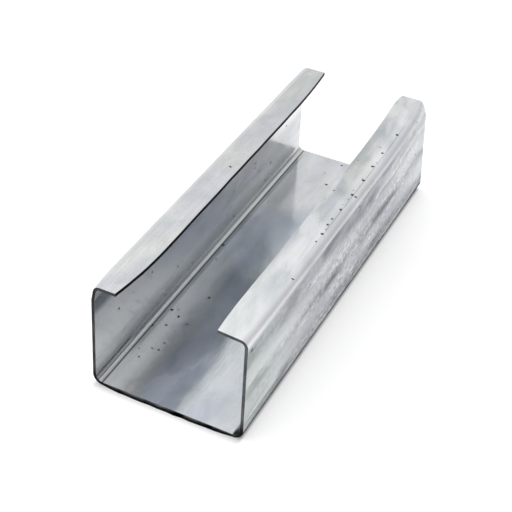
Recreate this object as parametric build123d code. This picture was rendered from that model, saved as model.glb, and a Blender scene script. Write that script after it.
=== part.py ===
from build123d import *
import os

# Short length of roll-formed, hot-dip galvanised lipped C purlin, lying on its web.
# Origin under the middle of the web. X runs across the web, Y along the length, Z up.

web_width = 75.0
flange_height = 55.0
lip_width = 15.5
sheet_thickness = 1.5
inside_lip_bend = 1.7
inside_foot_bend = 3.5
length = 215.0

# Once cut, a roll-formed section springs out of true. Here the right flange leans in towards
# the mouth, most at the back, and its lip stands up at the front. Angles are in degrees.
spring_run = 70.0
spring_stations = 4
front_toe_in = 0.5
back_toe_in = 3.0
front_lip_lift = 4.0
back_lip_lift = -1.0

# Neither cut is quite square: each face leans back over the piece.
front_cut_lean = 1.5
back_cut_lean = 1.0

# The shear nipped the free edge of the lips where it came through them.
left_front_nip_depth = 3.4
left_front_nip_run = 38.0
left_back_nip_depth = 1.9
left_back_nip_run = 42.0
right_front_nip_depth = 1.2
right_front_nip_run = 36.0
right_back_nip_depth = 1.5
right_back_nip_run = 12.0

half_web = web_width / 2
half_length = length / 2
outside_lip_bend = inside_lip_bend + sheet_thickness
outside_foot_bend = inside_foot_bend + sheet_thickness
bend_radii = [outside_lip_bend, outside_foot_bend, outside_foot_bend, outside_lip_bend]


def side_line(toe_in, lip_lift):
    """Outer corners of the right side: foot of the flange, top of the flange, free edge of the lip."""
    foot = Vector(half_web, 0)
    top = foot + Vector(0, flange_height).rotate(Axis.Z, toe_in)
    free_edge = top + Vector(-lip_width, 0).rotate(Axis.Z, -lip_lift)
    return [foot, top, free_edge]


def strip_section(toe_in, lip_lift):
    """The bent strip seen along the purlin: web below, two flanges, two lips turned inwards."""
    left = [Vector(-corner.X, corner.Y) for corner in side_line(0, 0)]
    right = side_line(toe_in, lip_lift)
    outside = FilletPolyline(*reversed(left), *right, radius=bend_radii)
    return Plane.XZ * make_face(offset(outside, sheet_thickness, side=Side.LEFT))


def sprung_end(end, toe_in, lip_lift):
    """One end of the purlin, where the flange and the lip bend further and further out of true."""
    sections = []
    for station in range(spring_stations + 1):
        share = station / spring_stations
        place = end * (half_length - spring_run * (1 - share))
        sections.append(Pos(0, place, 0) * strip_section(toe_in * share**2, lip_lift * share**2))
    return loft(sections)


def cut_face(end, lean):
    """The plane of one cut, looking away from the piece."""
    outwards = Vector(0, end, 0).rotate(Axis.X, end * lean)
    return Plane(origin=(0, end * half_length, 0), z_dir=outwards)


def nip(side, end, free_edge, depth, run):
    """What one end of the shear takes off a lip: an arc that dies out along the free edge."""
    clear_of_lip = free_edge - sheet_thickness
    corner = (side * (free_edge + depth), end * half_length)
    middle = (side * (free_edge + depth / 4), end * (half_length - run / 2))
    fade = (side * free_edge, end * (half_length - run))
    past_fade = (side * clear_of_lip, end * (half_length - run))
    past_corner = (side * clear_of_lip, end * half_length)
    outline = ThreePointArc(corner, middle, fade) + Polyline(fade, past_fade, past_corner, corner)
    return Pos(0, 0, flange_height) * extrude(make_face(outline), lip_width / 2, both=True)


true_run = length - 2 * spring_run
purlin = Pos(0, true_run / 2, 0) * extrude(strip_section(0, 0), true_run)
purlin += sprung_end(-1, front_toe_in, front_lip_lift)
purlin += sprung_end(1, back_toe_in, back_lip_lift)
purlin = split(purlin, cut_face(-1, front_cut_lean), keep=Keep.BOTTOM)
purlin = split(purlin, cut_face(1, back_cut_lean), keep=Keep.BOTTOM)

left_edge = half_web - lip_width
right_front_edge = side_line(front_toe_in, front_lip_lift)[2].X
right_back_edge = side_line(back_toe_in, back_lip_lift)[2].X
purlin -= nip(-1, -1, left_edge, left_front_nip_depth, left_front_nip_run)
purlin -= nip(-1, 1, left_edge, left_back_nip_depth, left_back_nip_run)
purlin -= nip(1, -1, right_front_edge, right_front_nip_depth, right_front_nip_run)
purlin -= nip(1, 1, right_back_edge, right_back_nip_depth, right_back_nip_run)

os.makedirs("parts", exist_ok=True)
export_step(purlin, "parts/purlin.step")
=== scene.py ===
import math

import bpy
from mathutils import Matrix, Vector


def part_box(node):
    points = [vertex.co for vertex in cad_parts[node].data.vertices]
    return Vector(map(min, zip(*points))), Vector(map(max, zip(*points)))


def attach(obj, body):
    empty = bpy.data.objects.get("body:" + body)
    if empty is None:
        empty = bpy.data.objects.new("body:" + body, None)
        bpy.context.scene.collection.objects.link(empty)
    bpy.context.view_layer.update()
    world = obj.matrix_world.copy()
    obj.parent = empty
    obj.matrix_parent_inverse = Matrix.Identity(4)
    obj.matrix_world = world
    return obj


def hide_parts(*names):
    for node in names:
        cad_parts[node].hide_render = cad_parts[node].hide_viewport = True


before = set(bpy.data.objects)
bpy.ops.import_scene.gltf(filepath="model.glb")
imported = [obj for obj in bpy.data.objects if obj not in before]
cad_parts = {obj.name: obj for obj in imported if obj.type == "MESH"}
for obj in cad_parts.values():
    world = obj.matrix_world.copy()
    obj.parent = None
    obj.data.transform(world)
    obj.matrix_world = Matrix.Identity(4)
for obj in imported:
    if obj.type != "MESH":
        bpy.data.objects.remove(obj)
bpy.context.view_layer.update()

# Sizes in metres. The outside sizes of the straight section come from the frame.
low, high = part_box("purlin")
web_width = high.x - low.x
length = high.y - low.y
flange_height = 0.055
lip_width = 0.0155
sheet_thickness = 0.0015
outside_lip_bend = 0.0032
outside_foot_bend = 0.0050

# Where the flats and bends lie across the flat strip, measured from either free edge
lip_girth = (outside_lip_bend - sheet_thickness / 2) * math.pi / 2
foot_girth = (outside_foot_bend - sheet_thickness / 2) * math.pi / 2
lip_flat = lip_width - outside_lip_bend
flange_flat = flange_height - outside_lip_bend - outside_foot_bend
web_flat = web_width - 2 * outside_foot_bend
flange_start = lip_flat + lip_girth
flange_end = flange_start + flange_flat
girth = 2 * (flange_end + foot_girth) + web_flat

# Sizes and angles that the roll-forming tree takes, as the cut piece has them
forming_sizes = {
    "Length": length,
    "Thickness": sheet_thickness,
    "Half Web": web_width / 2,
    "Flange Height": flange_height,
    "Lip Flat": lip_flat,
    "Flange Start": flange_start,
    "Flange End": flange_end,
    "Foot Bend": foot_girth,
    "Spring Run": 0.070,
    "Front Toe In": math.radians(0.5),
    "Back Toe In": math.radians(3.0),
    "Front Lip Lift": math.radians(4.0),
    "Back Lip Lift": math.radians(-1.0),
    "Front Cut Lean": math.radians(1.5),
    "Back Cut Lean": math.radians(1.0),
    "Front Left Nip": 0.0034,
    "Front Left Nip Run": 0.038,
    "Back Left Nip": 0.0019,
    "Back Left Nip Run": 0.042,
    "Front Right Nip": 0.0012,
    "Front Right Nip Run": 0.036,
    "Back Right Nip": 0.0015,
    "Back Right Nip Run": 0.012,
    "Front Left Crush": 0.0010,
    "Back Left Crush": 0.0005,
    "Front Right Crush": 0.0,
    "Back Right Crush": 0.0015,
    "Crush Run": 0.016,
    "Crush Reach": 0.007,
    "Front Burr": 0.0011,
    "Edge Wander": 0.0003,
}
rows_along = 160
bend_steps = 12
bend_margin = 0.0006
flat_step = 0.004

# How far the roll's seam on the lips is from their free edge
lip_seam = 0.0115

# Sizes of the patterns: pits and their ragged outline, waves, ripples, and tears and wander of the cuts
pit_spacing = 0.0027
ragged_size = 0.0012
ragged_shift = 0.0008
wave_size = 0.022
ripple_size = 0.011
tear_size = 0.009
wander_size = 0.014

# How steep a pit's side is, and how far inside the foot bends the front burr is whole
pit_steepness = 16.0
burr_fade = 0.008

# Where the burr and the painted shade on the left slit edge start and are whole, in shares of the lip, 1 at
# its free edge
edge_burr_shade_start = 0.965
edge_burr_shade_whole = 0.985

# How metallic the zinc is and how rough: clear, clouded, dull and inside the web. Torn steel is rougher.
zinc_metallic = 0.82
clear_roughness = 0.10
clouded_roughness = 0.20
dull_roughness = 0.38
web_roughness = 0.06
web_front_roughness = 0.17
torn_roughness = 0.6

# The floor, its glow, and how far from the purlin's foot the glow is whole, beside and in front of it
floor_reach = 6.0
floor_white = 0.9
floor_glow = 0.41
side_reach = 0.0015
front_reach = 0.0045

# The light's strength, and the way to where it is strongest
brightest_way = (-0.92, 0.0, 0.39)
strongest_light = 1.20
weakest_light = 0.40

# Camera, fitted to the corners of the photographed piece
image_side = 512
sensor_side = 36.0
camera_azimuth = math.radians(24.38)
camera_elevation = math.radians(38.34)
camera_roll = math.radians(3.32)
camera_distance = 0.6377
focal_pixels = 1280.0
camera_right = -0.00854
camera_up = 0.00957


def add(tree, kind, settings=None, inputs=None):
    """Adds a node. Settings are its properties; inputs are values, sockets or nodes' first outputs."""
    node = tree.nodes.new(kind)
    for name, value in (settings or {}).items():
        setattr(node, name, value)
    for name, value in (inputs or {}).items():
        socket = node.inputs[name]
        if isinstance(value, bpy.types.Node):
            tree.links.new(value.outputs[0], socket)
        elif isinstance(value, bpy.types.NodeSocket):
            tree.links.new(value, socket)
        else:
            socket.default_value = value
    return node


def colour(hex_code):
    """An sRGB hex colour as linear red, green, blue and alpha."""
    channels = [int(hex_code[start : start + 2], 16) / 255 for start in (1, 3, 5)]
    linear = [
        channel / 12.92 if channel <= 0.04045 else ((channel + 0.055) / 1.055) ** 2.4
        for channel in channels
    ]
    return (*linear, 1.0)


def new_material(name):
    """An empty node material with its output node."""
    material = bpy.data.materials.new(name)
    material.use_nodes = True
    material.node_tree.nodes.clear()
    output = add(material.node_tree, "ShaderNodeOutputMaterial")
    return material, material.node_tree, output


def band(tree, value, centre, half_width, softness):
    """1 where a value lies within half a width of the centre, fading to 0 over the softness."""
    offset = add(tree, "ShaderNodeMath", {"operation": "SUBTRACT"}, {0: value, 1: centre})
    distance = add(tree, "ShaderNodeMath", {"operation": "ABSOLUTE"}, {0: offset})
    return add(
        tree,
        "ShaderNodeMapRange",
        inputs={
            "Value": distance,
            "From Min": half_width,
            "From Max": half_width + softness,
            "To Min": 1.0,
            "To Max": 0.0,
        },
    )


def product(tree, *factors):
    """The factors multiplied together."""
    result = factors[0]
    for factor in factors[1:]:
        result = add(tree, "ShaderNodeMath", {"operation": "MULTIPLY"}, {0: result, 1: factor})
    return result


def noise_patterns(tree, strip):
    """The noises that the coat is streaked and clouded with, each drawn out along the strip, 0 to 1."""
    pattern = {}
    for name, size_across, size_along, slant, detail, distortion, lowest, highest in (
        ("cloud", 0.010, 0.018, 0.0, 5.0, 0.6, 0.36, 0.64),
        ("tint", 0.015, 0.045, 0.0, 2.0, 0.0, 0.42, 0.58),
        ("roll line", 0.0011, 0.090, 0.0, 3.0, 0.0, 0.30, 0.70),
        ("grain", 0.0007, 0.0012, 0.0, 2.0, 0.0, 0.30, 0.70),
        ("dull patch", 0.0120, 0.040, -7.0, 4.0, 0.4, 0.42, 0.60),
        ("white patch", 0.0090, 0.032, -7.0, 6.0, 0.4, 0.46, 0.60),
        ("tooth", 0.0011, 0.0026, -24.0, 3.0, 0.6, 0.42, 0.58),
        ("smudge", 0.0120, 0.050, 0.0, 2.0, 0.5, 0.36, 0.56),
    ):
        turned = (0, 0, math.radians(slant))
        sized = add(
            tree,
            "ShaderNodeMapping",
            {"vector_type": "TEXTURE"},
            {"Vector": strip, "Rotation": turned, "Scale": (size_across, size_along, 1.0)},
        )
        noise = add(
            tree,
            "ShaderNodeTexNoise",
            inputs={"Vector": sized, "Scale": 1.0, "Detail": detail, "Distortion": distortion},
        )
        pattern[name] = add(
            tree, "ShaderNodeMapRange", inputs={"Value": noise, "From Min": lowest, "From Max": highest}
        )
    return pattern


def pit_marks(tree, strip, outer, inner):
    """Small ragged pits: many at the seam of the right lip, some by the left foot and few elsewhere."""
    shaken = add(
        tree,
        "ShaderNodeTexNoise",
        {"noise_dimensions": "2D"},
        {"Vector": strip, "Scale": 1 / ragged_size, "Detail": 2.0},
    )
    shake = add(
        tree,
        "ShaderNodeVectorMath",
        {"operation": "SCALE"},
        {0: shaken.outputs["Color"], "Scale": ragged_shift},
    )
    ragged_place = add(tree, "ShaderNodeVectorMath", {"operation": "ADD"}, {0: strip, 1: shake})
    cells = add(
        tree,
        "ShaderNodeTexVoronoi",
        {"voronoi_dimensions": "2D"},
        {"Vector": ragged_place, "Scale": 1 / pit_spacing},
    )
    cell = add(tree, "ShaderNodeSeparateXYZ", inputs={"Vector": cells.outputs["Position"]}).outputs
    chances = add(tree, "ShaderNodeSeparateColor", inputs={"Color": cells.outputs["Color"]}).outputs
    left_flange = band(tree, cell["X"], flange_start + flange_flat / 2, flange_flat / 2, 0.001)
    above_seam = band(tree, cell["X"], girth - lip_seam + 0.0026, 0.0014, 0.0010)
    cluster_run = band(tree, cell["Y"], 0.012, 0.020, 0.010)
    on_seam = band(tree, cell["X"], girth - lip_seam + 0.0002, 0.0006, 0.0008)
    seam_run = band(tree, cell["Y"], 0.020, 0.052, 0.012)
    by_foot = band(tree, cell["X"], girth / 2 - 0.026, 0.004, 0.006)
    front_of_foot = band(tree, cell["Y"], -0.066, 0.012, 0.020)

    # The share of cells without a pit, here and there
    rarity = 0.992
    for there, place in (
        (0.965, product(tree, left_flange, inner)),
        (0.86, product(tree, above_seam, cluster_run, outer)),
        (0.58, product(tree, on_seam, seam_run, outer)),
        (0.78, product(tree, by_foot, front_of_foot, inner)),
    ):
        rarity = add(tree, "ShaderNodeMix", inputs={"Factor": place, "A": rarity, "B": there})
    picked = add(tree, "ShaderNodeMath", {"operation": "GREATER_THAN"}, {0: chances["Red"], 1: rarity})

    # A pit's radius is a share of the spacing, and its side is steep
    radius = add(
        tree, "ShaderNodeMapRange", inputs={"Value": chances["Green"], "To Min": 0.05, "To Max": 0.33}
    )
    depth = add(tree, "ShaderNodeMath", {"operation": "SUBTRACT"}, {0: radius, 1: cells.outputs["Distance"]})
    steep = add(
        tree, "ShaderNodeMath", {"operation": "MULTIPLY", "use_clamp": True}, {0: depth, 1: pit_steepness}
    )
    return product(tree, steep, picked)


def strip_places(tree, across, along):
    """Masks by name for the places on the strip where the finish differs, 1 inside and 0 outside."""
    half_girth = girth / 2
    rolled_end = flange_start + 0.0004
    bent_end = flange_end + foot_girth
    foot = flange_end + foot_girth / 2
    front_cut = -length / 2
    back_cut = length / 2
    mask = {}

    # Bands across the strip: name, middle counted from the left free edge, half width and softness
    for name, middle, half_width, softness in (
        ("under left lip", flange_start + 0.0060, 0.0040, 0.0040),
        ("left top", flange_start + 0.0100, 0.0100, 0.0060),
        ("left side", half_girth - 0.0500, 0.0300, 0.0100),
        ("by left foot", foot - 0.0065, 0.0040, 0.0050),
        ("second crease", foot - 0.0021, 0.0002, 0.0004),
        ("second strip", foot - 0.0008, 0.0008, 0.0003),
        ("above strip", foot - 0.0003, 0.0005, 0.0008),
        ("between strips", foot + 0.0003, 0.0001, 0.0003),
        ("foot strip", foot + 0.0016, 0.0009, 0.0003),
        ("foot crease", foot + 0.0030, 0.0002, 0.0005),
        ("foot shade", foot + 0.0040, 0.0008, 0.0010),
        ("web left", half_girth - 0.0150, 0.0100, 0.0080),
        ("shaded web", half_girth - 0.0130, 0.0040, 0.0060),
        ("web middle", half_girth - 0.0060, 0.0060, 0.0060),
        ("web", half_girth, web_flat / 2, 0.0005),
        ("not lips", half_girth, half_girth - lip_seam - 0.0008, 0.0008),
    ):
        mask[name] = band(tree, across, middle, half_width, softness)

    # The same, counted from the right free edge
    for name, middle, half_width, softness in (
        ("right lip", 0.0, lip_seam, 0.0020),
        ("lip rim", 0.0100, 0.0012, 0.0020),
        ("seam scratch", lip_seam + 0.0002, 0.00008, 0.0002),
        ("right bend", (lip_seam + rolled_end) / 2, (rolled_end - lip_seam) / 2, 0.0005),
        ("bend crown", 0.0136, 0.0006, 0.0012),
        ("front bend", 0.0142, 0.0022, 0.0024),
        ("right flange", (rolled_end + bent_end) / 2, (bent_end - rolled_end) / 2, 0.0006),
        ("dark spot height", 0.0196, 0.0004, 0.0007),
        ("flange top", 0.0203, 0.0034, 0.0040),
        ("upper flange", 0.0300, 0.0100, 0.0100),
        ("upper run", 0.0340, 0.0025, 0.0040),
        ("dark run", 0.0415, 0.0016, 0.0025),
        ("lower run", 0.0500, 0.0030, 0.0040),
        ("lower flange", foot - 0.0200, 0.0140, 0.0080),
        ("foot scratch", flange_end - 0.0036, 0.00015, 0.0003),
        ("outer foot shade", flange_end, 0.0012, 0.0026),
        # painted shade along the outer right foot bend, where it meets the floor
        ("foot contact", flange_end + 0.0022, 0.0017, 0.0006),
        ("right foot bend", foot, foot_girth / 2 - 0.0004, 0.0006),
    ):
        mask[name] = band(tree, across, girth - middle, half_width, softness)

    # Bands along the strip, counted from the middle of its length towards the back
    for name, middle, half_width, softness in (
        ("front rim", front_cut, 0.0020, 0.0025),
        ("dark spot place", -0.1037, 0.0007, 0.0009),
        ("front corner", front_cut + 0.0070, 0.0060, 0.0050),
        ("front foot", front_cut, 0.0280, 0.0050),
        ("front end", front_cut, 0.0300, 0.0250),
        ("before back", front_cut, length * 0.62, 0.0500),
        ("top run", -0.0250, 0.0650, 0.0300),
        ("behind front", 0.0100, 0.0850, 0.0120),
        ("shaded web run", 0.0120, 0.0300, 0.0180),
        ("middle", 0.0120, 0.0500, 0.0400),
        ("scratch run", 0.0150, 0.0500, 0.0300),
        ("back patch", 0.0900, 0.0200, 0.0200),
        ("back end", back_cut, 0.0220, 0.0180),
    ):
        mask[name] = band(tree, along, middle, half_width, softness)

    # What grows towards a cut: name, where it starts and where it is whole
    for name, start, whole in (
        ("front", -0.045, front_cut),
        ("front half", 0.0, front_cut),
        ("back", -0.040, back_cut),
    ):
        mask[name] = add(
            tree, "ShaderNodeMapRange", inputs={"Value": along, "From Min": start, "From Max": whole}
        )
    mask["lips"] = add(tree, "ShaderNodeMath", {"operation": "SUBTRACT"}, {0: 1.0, 1: mask["not lips"]})
    return mask


def hot_dip_zinc():
    """Hot-dip galvanised and skin-passed strip: half glossy, cloudy grey, streaked and pitted by handling.

    The inside of the web is nearly a mirror. White rust has dulled the outer right flange, and painted shade
    darkens its top band and its foot.
    """
    material, tree, output = new_material("hot_dip_galvanised_steel")
    strip = add(tree, "ShaderNodeUVMap", {"uv_map": "strip"})
    axes = add(tree, "ShaderNodeSeparateXYZ", inputs={"Vector": strip}).outputs
    outer = add(tree, "ShaderNodeAttribute", {"attribute_name": "outer_side"}).outputs["Fac"]
    inner = add(tree, "ShaderNodeMath", {"operation": "SUBTRACT"}, {0: 1.0, 1: outer})
    mask = {**noise_patterns(tree, strip), **strip_places(tree, axes["X"], axes["Y"])}
    mask["outer"] = outer
    mask["inner"] = inner
    mask["pits"] = pit_marks(tree, strip, outer, inner)
    mask["weathered"] = product(tree, mask["right flange"], outer)

    def at(*places):
        """The named masks multiplied together. A number among them is a share."""
        return product(tree, *(mask.get(place, place) for place in places))

    # Colours laid over each other: how, which and where
    coat = colour("#D3D6D5")
    for blend, shade, *places in (
        ("MIX", "#E2E3E3", "cloud"),
        ("MULTIPLY", "#F7F7FE", "tint"),
        ("MULTIPLY", "#F8F9F8", "roll line"),
        ("MULTIPLY", "#F6F6F6", "grain"),
        ("MULTIPLY", "#EAECEB", "lips", "outer", "back"),
        ("MULTIPLY", "#F5F8FE", "web", "inner", "before back"),
        # painted light on the front left of the web's inside, where a dark reflection falls
        ("MIX", "#F3F4FA", "web left", "inner", "front half", 0.6),
        ("MULTIPLY", "#F2F3F4", "left side", "inner", "before back"),
        ("MIX", "#E7E9E9", "left side", "inner", "front half"),
        ("MIX", "#F6F7F7", "left top", "inner", "back end"),
        ("MIX", "#F0F1F1", "lips", "inner"),
        ("MULTIPLY", "#F8F8FB", "right bend", "outer"),
        # painted highlight along the crown of the right lip's bend
        ("MIX", "#FAFAFC", "bend crown", "outer", 0.35),
        ("MIX", "#F4F6F9", "lip rim", "outer", 0.35),
        ("MULTIPLY", "#F2F6FF", "web middle", "inner", "front half"),
        ("MULTIPLY", "#CDCFD3", "seam scratch", "outer", "scratch run"),
        ("MIX", "#C5C8CA", "weathered"),
        ("MULTIPLY", "#C8C9CE", "weathered", "dull patch"),
        ("MIX", "#E3E5E6", "weathered", "white patch"),
        ("MIX", "#E8E9EC", "weathered", "upper run", 0.35),
        ("MIX", "#E4E5E9", "weathered", "lower run", 0.35),
        ("MIX", "#EEEFF2", "weathered", "upper run", "tooth"),
        ("MIX", "#ECEDF0", "weathered", "lower run", "tooth"),
        # painted shade: the top band of the outer right flange is darker, standing for a darker reflection
        ("MULTIPLY", "#C8C9CF", "weathered", "flange top", "top run"),
        ("MULTIPLY", "#BFC0C4", "weathered", "dark run", "dull patch"),
        ("MULTIPLY", "#F1F2F3", "weathered", "back end"),
        ("MIX", "#E8EAE8", "weathered", "upper flange", "back patch", 0.3),
        ("MIX", "#D6DCD8", "weathered", "front", 0.3),
        ("MULTIPLY", "#F3F8F4", "weathered", "front"),
        ("MULTIPLY", "#E9E9EC", "weathered", "tooth"),
        ("MULTIPLY", "#D0D1D6", "weathered", "lower flange", "middle", "tooth"),
        # a small dark spot near the front of the outer right flange
        ("MULTIPLY", "#4E5552", "dark spot height", "dark spot place", "outer"),
        ("MULTIPLY", "#A9ABB0", "foot scratch", "outer"),
        # painted shade just above the outer right foot
        ("MULTIPLY", "#E2E3E6", "outer foot shade", "outer"),
        ("MIX", "#EEF0F2", "by left foot", "inner", 0.8),
        ("MULTIPLY", "#F0F1F3", "by left foot", "inner", "smudge"),
        # painted shade under the left lip at the front corner
        ("MULTIPLY", "#9FA5A7", "under left lip", "front corner", "inner"),
        # painted highlight in the inner left foot bend, with painted shade beside and above it
        ("MIX", "#DDE0E0", "foot strip", "inner"),
        ("MULTIPLY", "#D2D4D7", "foot shade", "inner", "behind front"),
        ("MULTIPLY", "#BCBEC2", "above strip", "inner", "behind front"),
        # painted shade on the web's inside, laid over a lighter reflection there
        ("MULTIPLY", "#DADDE2", "shaded web", "inner", "shaded web run"),
        # painted shade in the creases of the inner left foot bend, and a second painted highlight at its
        # front
        ("MULTIPLY", "#85878A", "foot crease", "inner"),
        ("MIX", "#D6D9D8", "second strip", "front foot", "inner"),
        ("MULTIPLY", "#77797C", "second crease", "front foot", "inner"),
        ("MULTIPLY", "#8E9093", "between strips", "front foot", "inner"),
        # painted shade in the inner right foot bend, darkest at the front cut
        ("MULTIPLY", "#A6A8AB", "right foot bend", "inner"),
        ("MULTIPLY", "#5C5D60", "right foot bend", "inner", "front rim"),
        # The right lip is lighter towards the front, and its bend carries a painted highlight there
        ("MIX", "#EEF1F1", "right lip", "outer", "front"),
        ("MIX", "#FAFBFC", "front bend", "outer", "front", 0.5),
        ("MULTIPLY", "#E6EAEA", "right lip", "outer", "dull patch"),
        ("MIX", "#F2F4F6", "right lip", "outer", "white patch", 0.5),
        ("MULTIPLY", "#3C3D41", "pits"),
    ):
        coat = add(
            tree,
            "ShaderNodeMix",
            {"data_type": "RGBA", "blend_type": blend},
            {"Factor": at(*places), 6: coat, 7: colour(shade)},
        ).outputs[2]

    # The surface: long waves from the rolls, ripples by the front cut, fine grain, and the pits sunk in
    waves = add(tree, "ShaderNodeTexNoise", inputs={"Vector": strip, "Scale": 1 / wave_size, "Detail": 1.0})
    ripples = add(
        tree, "ShaderNodeTexNoise", inputs={"Vector": strip, "Scale": 1 / ripple_size, "Detail": 2.0}
    )
    relief = None
    for height, share, rise, sunk in (
        (waves, 1.0, 0.00008, False),
        (ripples, at("web", "inner", "front half"), 0.00018, False),
        (mask["grain"], 1.0, 0.00001, False),
        (mask["pits"], 1.0, 0.0002, True),
    ):
        inputs = {"Strength": share, "Distance": rise, "Height": height}
        if relief:
            inputs["Normal"] = relief
        relief = add(tree, "ShaderNodeBump", {"invert": sunk}, inputs)

    # Roughness: clear and clouded zinc, the glossier inside of the web, then what has gone dull
    clouded = add(
        tree,
        "ShaderNodeMapRange",
        inputs={"Value": mask["cloud"], "To Min": clear_roughness, "To Max": clouded_roughness},
    )
    on_web = add(
        tree,
        "ShaderNodeMapRange",
        inputs={"Value": mask["front half"], "To Min": web_roughness, "To Max": web_front_roughness},
    )
    glossy = add(tree, "ShaderNodeMix", inputs={"Factor": at("web", "inner"), "A": clouded, "B": on_web})
    dull = at("not lips", "outer")
    for places in (
        ("foot strip", "inner"),
        ("by left foot", "inner", 0.6),
        ("web middle", "inner", "front end", "smudge", 0.7),
    ):
        dull = add(tree, "ShaderNodeMath", {"operation": "MAXIMUM"}, {0: dull, 1: at(*places)})
    roughness = add(tree, "ShaderNodeMix", inputs={"Factor": dull, "A": glossy, "B": dull_roughness})
    zinc = add(
        tree,
        "ShaderNodeBsdfPrincipled",
        inputs={"Base Color": coat, "Metallic": zinc_metallic, "Roughness": roughness, "Normal": relief},
    )

    # Painted shade: a dark matt coat along the right foot, where it meets the floor, and along the left free
    # edge, over a rolled-over burr, hides the zinc
    left_edge = add(tree, "ShaderNodeAttribute", {"attribute_name": "left_edge"}).outputs["Fac"]
    # painted shade near the left free edge, beside the rolled-over burr
    burr = add(
        tree,
        "ShaderNodeMapRange",
        inputs={"Value": left_edge, "From Min": edge_burr_shade_start, "From Max": edge_burr_shade_whole},
    )
    shade_share = add(
        tree, "ShaderNodeMath", {"operation": "MAXIMUM"}, {0: at("foot contact", "outer"), 1: burr}
    )
    painted_shade = add(tree, "ShaderNodeBsdfDiffuse", inputs={"Color": colour("#1B1C1E")})
    covered = add(tree, "ShaderNodeMixShader", inputs={0: shade_share, 1: zinc, 2: painted_shade})
    tree.links.new(covered.outputs[0], output.inputs["Surface"])
    return material


def sheared_steel():
    """Bare steel where the strip was slit and cropped: dark and dull.

    It is greyer on the cropped ends of flanges and lips, and brighter on the inner rim of the web, where a
    burnished band carries a painted highlight.
    """
    material, tree, output = new_material("sheared_steel_edge")
    place = add(tree, "ShaderNodeTexCoord").outputs["Object"]
    strip = add(tree, "ShaderNodeUVMap", {"uv_map": "strip"})
    axes = add(tree, "ShaderNodeSeparateXYZ", inputs={"Vector": strip}).outputs
    outer = add(tree, "ShaderNodeAttribute", {"attribute_name": "outer_side"}).outputs["Fac"]
    tear = add(tree, "ShaderNodeTexNoise", inputs={"Vector": place, "Scale": 1 / tear_size, "Detail": 5.0})
    spread = add(tree, "ShaderNodeMapRange", inputs={"Value": tear, "From Min": 0.35, "From Max": 0.65})
    # the inner rim of the cut is lighter: partly a burnished band, partly a painted highlight
    burnish_and_highlight = add(
        tree, "ShaderNodeMapRange", inputs={"Value": outer, "From Min": 0.50, "From Max": 0.20}
    )
    web = band(tree, axes["X"], girth / 2, web_flat / 2, 0.003)
    web_and_feet = band(tree, axes["X"], girth / 2, girth / 2 - flange_end, 0.006)
    above_feet = add(tree, "ShaderNodeMath", {"operation": "SUBTRACT"}, {0: 1.0, 1: web_and_feet})
    between_cuts = band(tree, axes["Y"], 0.0, length / 2 - 0.0004, 0.0002)
    at_cuts = add(tree, "ShaderNodeMath", {"operation": "SUBTRACT"}, {0: 1.0, 1: between_cuts})
    cropped = product(tree, above_feet, at_cuts)
    left_half = band(tree, axes["X"], 0.0, girth / 2, 0.001)
    shade = colour("#040405")
    for where, hex_code in (
        (spread, "#232425"),
        (cropped, "#474849"),
        (product(tree, cropped, spread), "#6C6E70"),
        (product(tree, cropped, left_half, 0.6), "#1C1D1E"),
        (product(tree, burnish_and_highlight, web, spread), "#77797B"),
    ):
        shade = add(
            tree,
            "ShaderNodeMix",
            {"data_type": "RGBA"},
            {"Factor": where, 6: shade, 7: colour(hex_code)},
        ).outputs[2]
    steel = add(
        tree,
        "ShaderNodeBsdfPrincipled",
        inputs={"Base Color": shade, "Metallic": 1.0, "Roughness": torn_roughness},
    )
    tree.links.new(steel.outputs["BSDF"], output.inputs["Surface"])
    return material


def carry_on(points, end):
    """Carries a line on from its last point to an end, in short straight steps."""
    start = points[-1]
    steps = round((end - start).length / flat_step)
    points.extend([start.lerp(end, step / steps) for step in range(1, steps + 1)])


def section_line():
    """Middle line of the bent strip seen along the purlin: five flats joined by quarter-circle bends."""
    half_sheet = sheet_thickness / 2
    side = web_width / 2 - half_sheet
    lip_edge = web_width / 2 - lip_width
    top = flange_height - half_sheet
    left = [Vector((-lip_edge, 0, top)), Vector((-side, 0, top)), Vector((-side, 0, half_sheet))]
    corners = left + [Vector((-corner.x, 0, corner.z)) for corner in reversed(left)]
    outside_bends = (outside_lip_bend, outside_foot_bend, outside_foot_bend, outside_lip_bend)
    points = [corners[0]]
    for before, corner, after, outside_bend in zip(corners, corners[1:], corners[2:], outside_bends):
        radius = outside_bend - half_sheet
        back = (before - corner).normalized()
        onward = (after - corner).normalized()
        centre = corner + (back + onward) * radius
        carry_on(points, corner + back * (radius + bend_margin))
        for step in range(bend_steps + 1):
            turn = math.pi / 2 * step / bend_steps
            points.append(centre - (onward * math.cos(turn) + back * math.sin(turn)) * radius)
        points.append(corner + onward * (radius + bend_margin))
    carry_on(points, corners[-1])
    mesh = bpy.data.meshes.new("section_line")
    mesh.from_pydata(points, [(first, first + 1) for first in range(len(points) - 1)], [])
    return mesh


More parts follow.
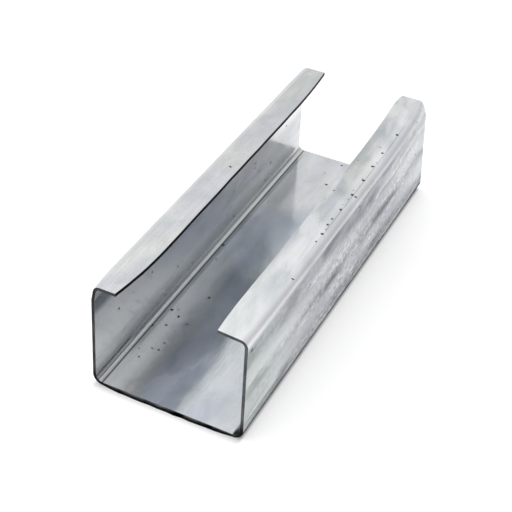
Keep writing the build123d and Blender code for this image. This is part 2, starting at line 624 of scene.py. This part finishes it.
def flat_strip(tree, given):
    """A flat grid with one column for each point of the section line, and what each column is given.

    That is the line's place and direction there, and the distances from the free edges and along.
    """
    line = add(tree, "GeometryNodeMeshToCurve", inputs={"Mesh": given["Geometry"]})
    counted = add(tree, "GeometryNodeAttributeDomainSize", {"component": "CURVE"}, {"Geometry": line})
    columns = counted.outputs["Point Count"]
    last = add(tree, "ShaderNodeMath", {"operation": "SUBTRACT"}, {0: columns, 1: 1.0})
    strip = add(
        tree,
        "GeometryNodeMeshGrid",
        inputs={
            "Size X": last,
            "Size Y": given["Length"],
            "Vertices X": columns,
            "Vertices Y": given["Rows"],
        },
    )
    position = add(tree, "GeometryNodeInputPosition")
    flat = add(tree, "ShaderNodeSeparateXYZ", inputs={"Vector": position}).outputs
    half_last = add(tree, "ShaderNodeMath", {"operation": "MULTIPLY"}, {0: last, 1: 0.5})
    near_column = add(tree, "ShaderNodeMath", {"operation": "ADD"}, {0: flat["X"], 1: half_last})
    column = add(tree, "ShaderNodeMath", {"operation": "ROUND"}, {0: near_column})
    at = {"along": flat["Y"]}
    for name, kind, output, data_type in (
        ("place", "GeometryNodeInputPosition", "Position", "FLOAT_VECTOR"),
        ("direction", "GeometryNodeInputTangent", "Tangent", "FLOAT_VECTOR"),
        ("from left", "GeometryNodeSplineParameter", "Length", "FLOAT"),
    ):
        at[name] = add(
            tree,
            "GeometryNodeSampleIndex",
            {"data_type": data_type, "domain": "POINT"},
            {"Geometry": line, "Value": add(tree, kind).outputs[output], "Index": column},
        )
    whole = add(tree, "GeometryNodeCurveLength", inputs={"Curve": line})
    at["from right"] = add(
        tree, "ShaderNodeMath", {"operation": "SUBTRACT"}, {0: whole, 1: at["from left"]}
    )
    return strip, at


def end_effects(tree, given, distance):
    """What each end does to the strip, fading with the square of the distance from the cut."""
    effect = {}
    for name, shared_run in (
        ("Toe In", "Spring Run"),
        ("Lip Lift", "Spring Run"),
        ("Left Crush", "Crush Run"),
        ("Right Crush", "Crush Run"),
        ("Left Nip", None),
        ("Right Nip", None),
    ):
        effect[name] = 0.0
        for end in ("Front", "Back"):
            run = given[shared_run or f"{end} {name} Run"]
            share = add(
                tree,
                "ShaderNodeMapRange",
                inputs={"Value": distance[end], "From Max": run, "To Min": 1.0, "To Max": 0.0},
            )
            faded = add(tree, "ShaderNodeMath", {"operation": "POWER"}, {0: share, 1: 2.0})
            amount = given[f"{end} {name}"]
            added = add(tree, "ShaderNodeMath", {"operation": "MULTIPLY"}, {0: faded, 1: amount})
            effect[name] = add(tree, "ShaderNodeMath", {"operation": "ADD"}, {0: added, 1: effect[name]})
    return effect


def closed_sheet(tree, strip, strip_place, left_edge, faces, zinc, steel):
    """The sheet from its outer face, its inner face pulled out of that, and the cut edges between them."""
    kept = add(tree, "GeometryNodeCaptureAttribute")
    kept.capture_items.new("VECTOR", "Outer")
    kept.capture_items.new("VECTOR", "Inner")
    marked = add(
        tree,
        "GeometryNodeStoreNamedAttribute",
        {"data_type": "FLOAT2", "domain": "CORNER"},
        {"Geometry": strip, "Name": "strip", "Value": strip_place},
    )
    tree.links.new(marked.outputs["Geometry"], kept.inputs["Geometry"])
    tree.links.new(faces["outer"].outputs[0], kept.inputs["Outer"])
    tree.links.new(faces["inner"].outputs[0], kept.inputs["Inner"])
    named = kept
    for name, value in (("left_edge", left_edge), ("outer_side", 1.0)):
        named = add(
            tree,
            "GeometryNodeStoreNamedAttribute",
            {"data_type": "FLOAT", "domain": "POINT"},
            {"Geometry": named, "Name": name, "Value": value},
        )
    outside = add(
        tree, "GeometryNodeSetPosition", inputs={"Geometry": named, "Position": kept.outputs["Outer"]}
    )
    pulled = add(
        tree,
        "GeometryNodeExtrudeMesh",
        {"mode": "FACES"},
        {"Mesh": outside, "Offset Scale": 0.0, "Individual": False},
    )
    top, side = pulled.outputs["Top"], pulled.outputs["Side"]
    moved = add(
        tree,
        "GeometryNodeSetPosition",
        inputs={"Geometry": pulled, "Selection": top, "Position": kept.outputs["Inner"]},
    )
    inner_named = add(
        tree,
        "GeometryNodeStoreNamedAttribute",
        {"data_type": "FLOAT", "domain": "POINT"},
        {"Geometry": moved, "Selection": top, "Name": "outer_side", "Value": 0.0},
    )
    coated = add(tree, "GeometryNodeSetMaterial", inputs={"Geometry": inner_named, "Material": zinc})
    edged = add(
        tree, "GeometryNodeSetMaterial", inputs={"Geometry": coated, "Selection": side, "Material": steel}
    )
    flat_edges = add(
        tree,
        "GeometryNodeSetShadeSmooth",
        inputs={"Geometry": edged, "Selection": side, "Shade Smooth": False},
    )
    skin = add(tree, "GeometryNodeFlipFaces", inputs={"Mesh": outside})
    skin_coated = add(tree, "GeometryNodeSetMaterial", inputs={"Geometry": skin, "Material": zinc})
    joined = add(tree, "GeometryNodeJoinGeometry")
    for part in (skin_coated, flat_edges):
        tree.links.new(part.outputs[0], joined.inputs[0])
    closed = add(
        tree, "GeometryNodeMergeByDistance", inputs={"Geometry": joined, "Distance": sheet_thickness / 100}
    )
    return add(tree, "GeometryNodeRealizeInstances", inputs={"Geometry": closed})


def roll_forming_tree(zinc, steel):
    """Carries a flat strip along the section line, springs and nips its ends and gives it its thickness."""
    tree = bpy.data.node_groups.new("roll_forming", "GeometryNodeTree")
    sockets = tree.interface
    sockets.new_socket("Geometry", in_out="INPUT", socket_type="NodeSocketGeometry")
    for name in forming_sizes:
        sockets.new_socket(name, in_out="INPUT", socket_type="NodeSocketFloat")
    sockets.new_socket("Rows", in_out="INPUT", socket_type="NodeSocketInt")
    sockets.new_socket("Geometry", in_out="OUTPUT", socket_type="NodeSocketGeometry")
    given = add(tree, "NodeGroupInput").outputs
    result = add(tree, "NodeGroupOutput")
    strip, at = flat_strip(tree, given)
    half_length = add(tree, "ShaderNodeMath", {"operation": "MULTIPLY"}, {0: given["Length"], 1: 0.5})
    distance = {
        "Front": add(tree, "ShaderNodeMath", {"operation": "ADD"}, {0: half_length, 1: at["along"]}),
        "Back": add(tree, "ShaderNodeMath", {"operation": "SUBTRACT"}, {0: half_length, 1: at["along"]}),
    }
    effect = end_effects(tree, given, distance)

    # How far each column is from the free edges, and so how much of each effect it takes
    foot_end = add(
        tree, "ShaderNodeMath", {"operation": "ADD"}, {0: given["Flange End"], 1: given["Foot Bend"]}
    )
    share_of = {}
    for name, edge, start, end in (
        ("left lip", "from left", 0.0, given["Lip Flat"]),
        ("right lip", "from right", 0.0, given["Lip Flat"]),
        ("lip bend", "from right", given["Lip Flat"], given["Flange Start"]),
        ("foot bend", "from right", given["Flange End"], foot_end),
    ):
        share_of[name] = add(
            tree,
            "ShaderNodeMapRange",
            inputs={"Value": at[edge], "From Min": start, "From Max": end, "To Min": 1.0, "To Max": 0.0},
        )

    # The slit edges wander a little, and the nips take them back towards the bends
    wander = add(
        tree,
        "ShaderNodeTexNoise",
        {"noise_dimensions": "2D"},
        {"Vector": add(tree, "GeometryNodeInputPosition"), "Scale": 1 / wander_size, "Detail": 3.0},
    )
    ragged = add(tree, "ShaderNodeMath", {"operation": "MULTIPLY"}, {0: wander, 1: given["Edge Wander"]})
    pushed = {}
    for nip, lip in (("Left Nip", "left lip"), ("Right Nip", "right lip")):
        taken = add(tree, "ShaderNodeMath", {"operation": "ADD"}, {0: effect[nip], 1: ragged})
        pushed[lip] = add(tree, "ShaderNodeMath", {"operation": "MULTIPLY"}, {0: taken, 1: share_of[lip]})
    push = add(
        tree, "ShaderNodeMath", {"operation": "SUBTRACT"}, {0: pushed["left lip"], 1: pushed["right lip"]}
    )
    shift = add(tree, "ShaderNodeVectorMath", {"operation": "SCALE"}, {0: at["direction"], "Scale": push})
    place = add(tree, "ShaderNodeVectorMath", {"operation": "ADD"}, {0: at["place"], 1: shift})
    strip_across = add(tree, "ShaderNodeMath", {"operation": "ADD"}, {0: at["from left"], 1: push})
    strip_place = add(tree, "ShaderNodeCombineXYZ", inputs={"X": strip_across, "Y": at["along"]})
    outwards = add(
        tree, "ShaderNodeVectorMath", {"operation": "CROSS_PRODUCT"}, {0: at["direction"], 1: (0, -1, 0)}
    )

    # The shear pressed the corners between lip and flange in a little
    both_ends = add(
        tree, "ShaderNodeMath", {"operation": "ADD"}, {0: given["Lip Flat"], 1: given["Flange Start"]}
    )
    bend_middle = add(tree, "ShaderNodeMath", {"operation": "MULTIPLY"}, {0: both_ends, 1: 0.5})
    crush = {}
    for name, edge in (("Left Crush", "from left"), ("Right Crush", "from right")):
        past = add(tree, "ShaderNodeMath", {"operation": "SUBTRACT"}, {0: at[edge], 1: bend_middle})
        off = add(tree, "ShaderNodeMath", {"operation": "ABSOLUTE"}, {0: past})
        near = add(
            tree,
            "ShaderNodeMapRange",
            {"interpolation_type": "SMOOTHSTEP"},
            {"Value": off, "From Max": given["Crush Reach"], "To Min": 1.0, "To Max": 0.0},
        )
        crush[name] = add(tree, "ShaderNodeMath", {"operation": "MULTIPLY"}, {0: near, 1: effect[name]})
    sideways = add(
        tree, "ShaderNodeMath", {"operation": "SUBTRACT"}, {0: crush["Left Crush"], 1: crush["Right Crush"]}
    )
    pressed = add(tree, "ShaderNodeCombineXYZ", inputs={"X": sideways})
    place = add(tree, "ShaderNodeVectorMath", {"operation": "ADD"}, {0: place, 1: pressed})

    # A ragged burr stands forward from the underside of the web at the front cut
    raggedness = add(
        tree,
        "ShaderNodeMapRange",
        inputs={"Value": wander, "From Min": 0.3, "From Max": 0.7, "To Min": 0.8, "To Max": 1.2},
    )
    first_row = add(
        tree,
        "ShaderNodeMapRange",
        inputs={"Value": distance["Front"], "From Max": 0.0005, "To Min": 1.0, "To Max": 0.0},
    )
    burr = product(tree, first_row, raggedness, given["Front Burr"])
    for edge in ("from left", "from right"):
        past_bend = add(tree, "ShaderNodeMath", {"operation": "SUBTRACT"}, {0: at[edge], 1: foot_end})
        on_web = add(tree, "ShaderNodeMapRange", inputs={"Value": past_bend, "From Max": burr_fade})
        burr = product(tree, burr, on_web)

    # The right flange leans in about its foot, and the lip lifts about the top of the flange
    top = add(tree, "ShaderNodeCombineXYZ", inputs={"X": given["Half Web"], "Z": given["Flange Height"]})
    foot = add(tree, "ShaderNodeCombineXYZ", inputs={"X": given["Half Web"]})
    lip_turn = add(
        tree, "ShaderNodeMath", {"operation": "ADD"}, {0: effect["Toe In"], 1: effect["Lip Lift"]}
    )
    lip_angle = add(
        tree, "ShaderNodeMath", {"operation": "MULTIPLY"}, {0: lip_turn, 1: share_of["lip bend"]}
    )
    toe_angle = add(
        tree, "ShaderNodeMath", {"operation": "MULTIPLY"}, {0: effect["Toe In"], 1: share_of["foot bend"]}
    )

    # Each cut leans, so the strip is shorter the higher it stands
    back_half = add(tree, "ShaderNodeMath", {"operation": "GREATER_THAN"}, {0: at["along"], 1: 0.0})
    lean = add(
        tree,
        "ShaderNodeMix",
        inputs={"Factor": back_half, "A": given["Front Cut Lean"], "B": given["Back Cut Lean"]},
    )
    lean_slope = add(tree, "ShaderNodeMath", {"operation": "TANGENT"}, {0: lean})
    lean_share = add(tree, "ShaderNodeMath", {"operation": "DIVIDE"}, {0: lean_slope, 1: half_length})
    faces = {}
    for name, half_sheets in (("outer", 0.5), ("inner", -0.5)):
        step = add(
            tree, "ShaderNodeMath", {"operation": "MULTIPLY"}, {0: given["Thickness"], 1: half_sheets}
        )
        proud = add(tree, "ShaderNodeVectorMath", {"operation": "SCALE"}, {0: outwards, "Scale": step})
        straight = add(tree, "ShaderNodeVectorMath", {"operation": "ADD"}, {0: place, 1: proud})
        lifted = add(
            tree,
            "ShaderNodeVectorRotate",
            {"rotation_type": "Y_AXIS"},
            {"Vector": straight, "Center": top, "Angle": lip_angle},
        )
        toed_in = add(
            tree,
            "ShaderNodeVectorRotate",
            {"rotation_type": "Y_AXIS", "invert": True},
            {"Vector": lifted, "Center": foot, "Angle": toe_angle},
        )
        height = add(tree, "ShaderNodeSeparateXYZ", inputs={"Vector": toed_in}).outputs["Z"]
        shortened = add(tree, "ShaderNodeMath", {"operation": "MULTIPLY"}, {0: height, 1: lean_share})
        kept_share = add(tree, "ShaderNodeMath", {"operation": "SUBTRACT"}, {0: 1.0, 1: shortened})
        along = add(tree, "ShaderNodeMath", {"operation": "MULTIPLY"}, {0: at["along"], 1: kept_share})
        if name == "outer":
            along = add(tree, "ShaderNodeMath", {"operation": "SUBTRACT"}, {0: along, 1: burr})
        moved_along = add(tree, "ShaderNodeCombineXYZ", inputs={"Y": along})
        faces[name] = add(tree, "ShaderNodeVectorMath", {"operation": "ADD"}, {0: toed_in, 1: moved_along})
    sheet = closed_sheet(tree, strip, strip_place, share_of["left lip"], faces, zinc, steel)
    tree.links.new(sheet.outputs[0], result.inputs[0])
    return tree


def rolled_purlin():
    """The whole purlin as one plain mesh, in place of the construction solid."""
    blank = bpy.data.objects.new("section_line", section_line())
    bpy.context.collection.objects.link(blank)
    forming = blank.modifiers.new("forming", "NODES")
    forming.node_group = roll_forming_tree(hot_dip_zinc(), sheared_steel())
    settings = {**forming_sizes, "Rows": rows_along}
    for item in forming.node_group.interface.items_tree:
        if item.name in settings:
            forming[item.identifier] = settings[item.name]
    evaluated = blank.evaluated_get(bpy.context.evaluated_depsgraph_get())
    mesh = bpy.data.meshes.new_from_object(evaluated)
    bpy.data.objects.remove(blank)
    piece = bpy.data.objects.new("purlin_sheet", mesh)
    bpy.context.collection.objects.link(piece)
    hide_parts("purlin")
    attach(piece, "root")


def floor():
    """A plain pale floor, white to the camera and to reflections, that keeps the shadow."""
    material, tree, output = new_material("matt_white_floor")
    mesh = bpy.data.meshes.new("floor")
    corners = [(x * floor_reach, y * floor_reach, 0) for x, y in ((-1, -1), (1, -1), (1, 1), (-1, 1))]
    mesh.from_pydata(corners, [], [(0, 1, 2, 3)])
    ground = bpy.data.objects.new("floor", mesh)
    bpy.context.collection.objects.link(ground)
    mesh.materials.append(material)
    white = (floor_white, floor_white, floor_white, 1)
    paint = add(tree, "ShaderNodeBsdfDiffuse", inputs={"Color": white})

    # The glow stops close to the purlin, so that its foot keeps a dark line of shadow, but not behind it
    place = add(tree, "ShaderNodeTexCoord").outputs["Object"]
    axes = add(tree, "ShaderNodeSeparateXYZ", inputs={"Vector": place}).outputs
    sideways = add(tree, "ShaderNodeMath", {"operation": "ABSOLUTE"}, {0: axes["X"]})
    foot_side = web_width / 2
    foot_end = length / 2
    beyond = {}
    for name, value, start, end in (
        ("side", sideways, foot_side - side_reach, foot_side),
        ("front", axes["Y"], -foot_end, -foot_end - front_reach),
        ("back", axes["Y"], foot_end - side_reach, foot_end),
    ):
        beyond[name] = add(
            tree, "ShaderNodeMapRange", inputs={"Value": value, "From Min": start, "From Max": end}
        )
    past_end = add(
        tree, "ShaderNodeMath", {"operation": "MAXIMUM"}, {0: beyond["front"], 1: beyond["back"]}
    )
    past_foot = add(tree, "ShaderNodeCombineXYZ", inputs={"X": beyond["side"], "Y": past_end})
    away = add(tree, "ShaderNodeVectorMath", {"operation": "LENGTH"}, {0: past_foot}).outputs["Value"]
    clear = add(tree, "ShaderNodeMapRange", inputs={"Value": away, "To Max": floor_glow})
    path = add(tree, "ShaderNodeLightPath").outputs
    seen = path["Is Camera Ray"]
    for ray in ("Is Glossy Ray", "Is Transmission Ray"):
        seen = add(tree, "ShaderNodeMath", {"operation": "MAXIMUM"}, {0: seen, 1: path[ray]})
    strength = add(tree, "ShaderNodeMath", {"operation": "MULTIPLY"}, {0: seen, 1: clear})
    glow = add(tree, "ShaderNodeEmission", inputs={"Color": (1, 1, 1, 1), "Strength": strength})
    both = add(tree, "ShaderNodeAddShader", inputs={0: paint, 1: glow})
    tree.links.new(both.outputs[0], output.inputs["Surface"])


def studio():
    """Soft light from all round, strongest from the left and above."""
    world = bpy.data.worlds.new("studio")
    bpy.context.scene.world = world
    world.use_nodes = True
    tree = world.node_tree
    tree.nodes.clear()
    output = add(tree, "ShaderNodeOutputWorld")
    direction = add(tree, "ShaderNodeTexCoord").outputs["Generated"]
    towards_light = add(
        tree, "ShaderNodeVectorMath", {"operation": "DOT_PRODUCT"}, {0: direction, 1: brightest_way}
    )
    strength = add(
        tree,
        "ShaderNodeMapRange",
        inputs={
            "Value": towards_light.outputs["Value"],
            "From Min": -1.0,
            "From Max": 1.0,
            "To Min": weakest_light,
            "To Max": strongest_light,
        },
    )
    light = add(tree, "ShaderNodeBackground", inputs={"Color": (1, 1, 1, 1), "Strength": strength})
    tree.links.new(light.outputs[0], output.inputs["Surface"])


def camera():
    """The photograph's viewpoint, from its angles, distance and focal length."""
    back = Vector(
        (
            math.sin(camera_azimuth) * math.cos(camera_elevation),
            -math.cos(camera_azimuth) * math.cos(camera_elevation),
            math.sin(camera_elevation),
        )
    )
    right = (-back).cross(Vector((0, 0, 1))).normalized()
    up = right.cross(-back)
    turn = Matrix.Rotation(-camera_roll, 3, -back)
    right, up = turn @ right, turn @ up
    data = bpy.data.cameras.new("camera")
    data.sensor_width = sensor_side
    data.lens = focal_pixels * sensor_side / image_side
    viewer = bpy.data.objects.new("camera", data)
    bpy.context.collection.objects.link(viewer)
    place = back * camera_distance + right * camera_right + up * camera_up
    viewer.matrix_world = Matrix.Translation(place) @ Matrix((right, up, back)).transposed().to_4x4()
    bpy.context.scene.camera = viewer


rolled_purlin()
floor()
studio()
camera()
bpy.context.scene.view_settings.view_transform = "Standard"
